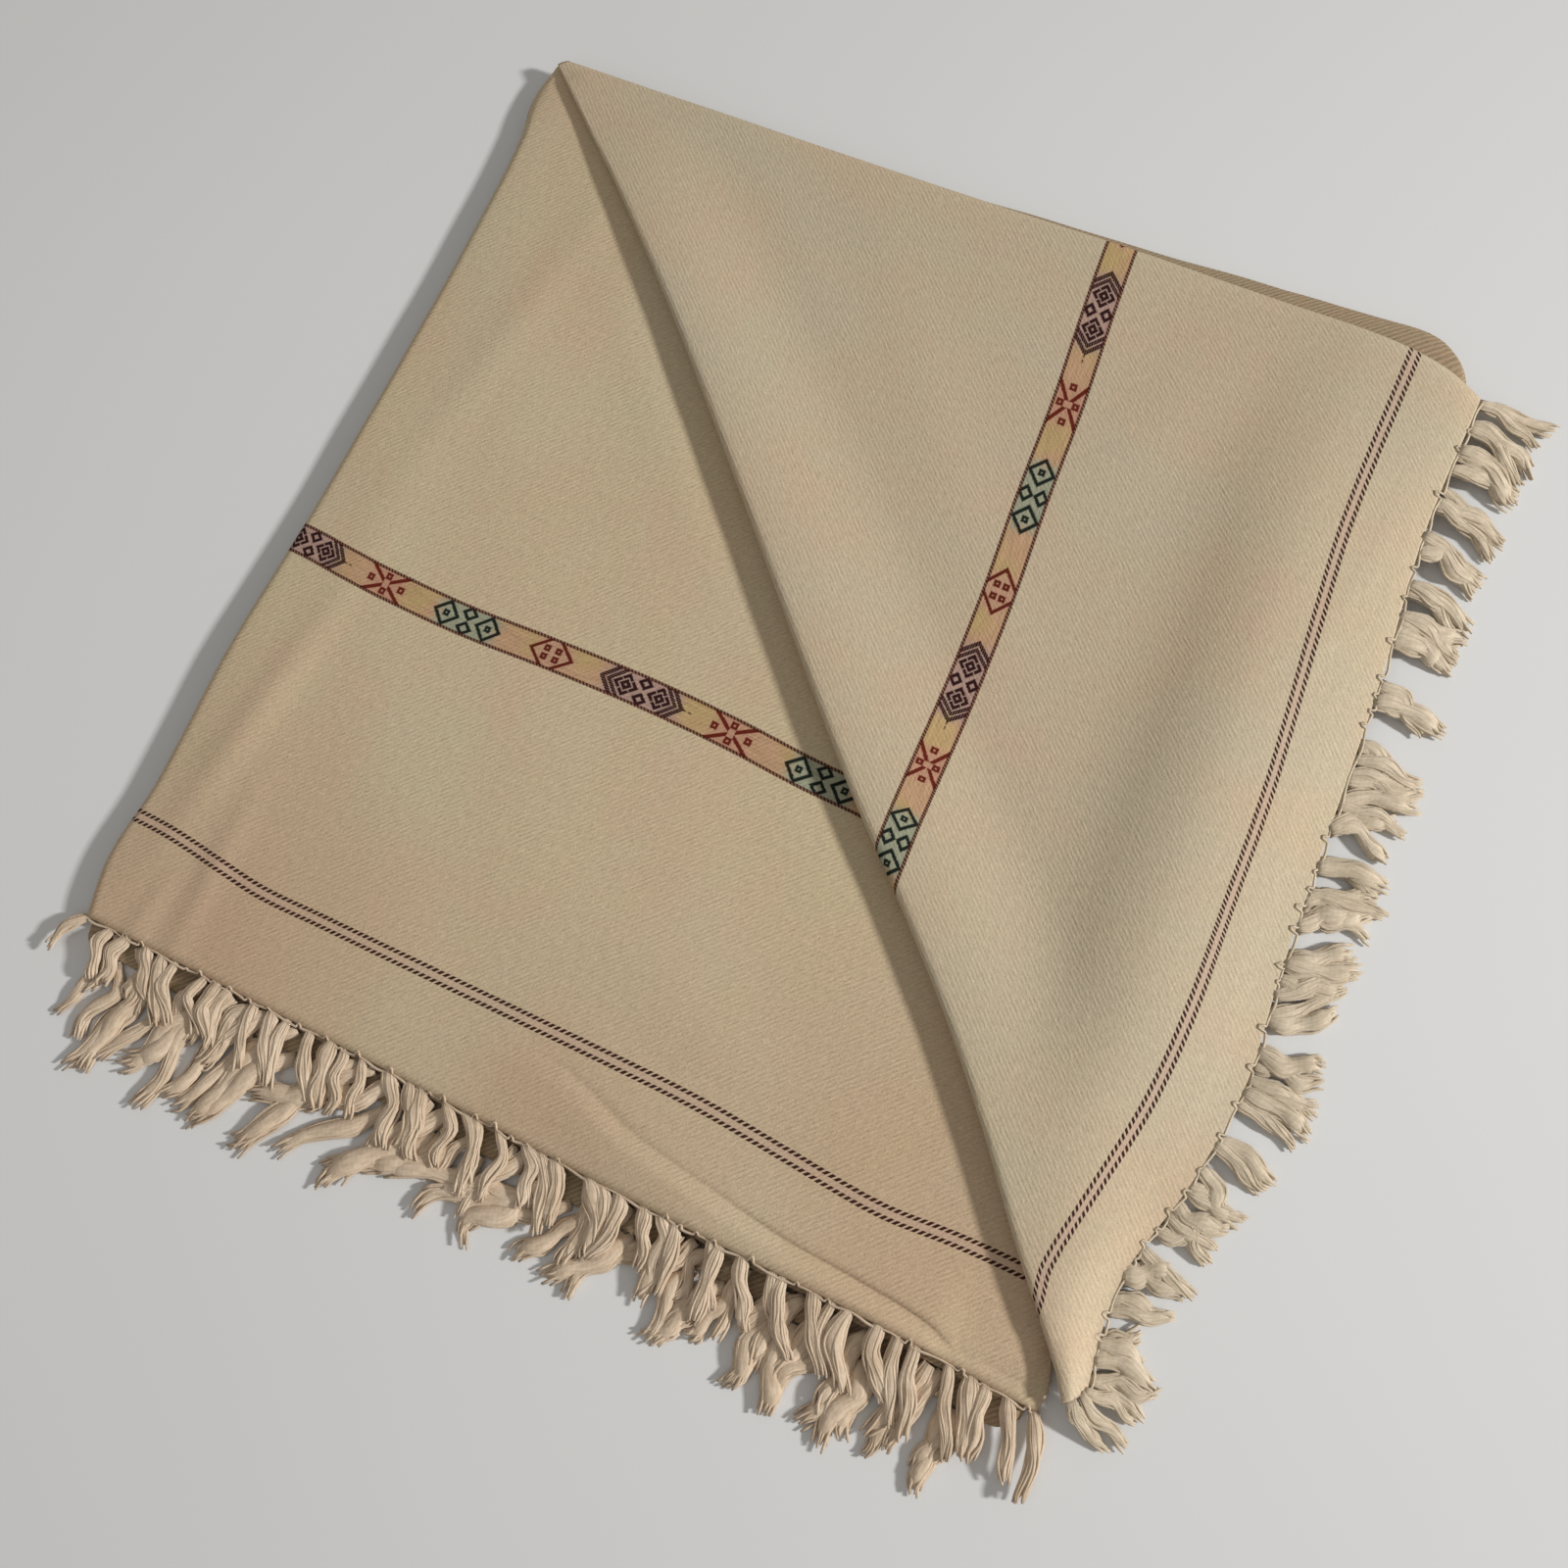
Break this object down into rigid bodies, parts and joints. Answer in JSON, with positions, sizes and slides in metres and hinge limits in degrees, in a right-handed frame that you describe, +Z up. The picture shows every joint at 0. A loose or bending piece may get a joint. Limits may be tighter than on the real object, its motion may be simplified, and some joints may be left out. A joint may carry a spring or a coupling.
{
  "type": "folded wool shawl",
  "caption": "Large fringed wool shawl folded to a flat square, with one corner of its top layer turned back along the diagonal.",
  "frame": {"origin": "middle of the folded square, on the surface it lies on", "axes": "+X along the fringed side from the free corner to the turned one, +Y from the fringed side to the top fold, +Z up out of the stack"},
  "size_m": [0.7327, 0.7609, 0.0262],
  "materials": {
    "inner_wool": "soft tan wool twill, seen at the edges of the folded layers",
    "face_wool": "beige wool twill with a woven band of small motifs and a thin dotted stripe",
    "reverse_wool": "greyer beige wool twill, the reverse of the same cloth",
    "yarn": "loose pale wool yarn"
  },
  "bodies": {
    "root": {"folded_stack": "inner_wool", "second_layer": "face_wool", "top_layer_turned_corner": "reverse_wool", "fringe_second_layer": "yarn", "fringe_lower_layers": "yarn", "fringe_turned_corner": "yarn"}
  },
  "joints": []
}
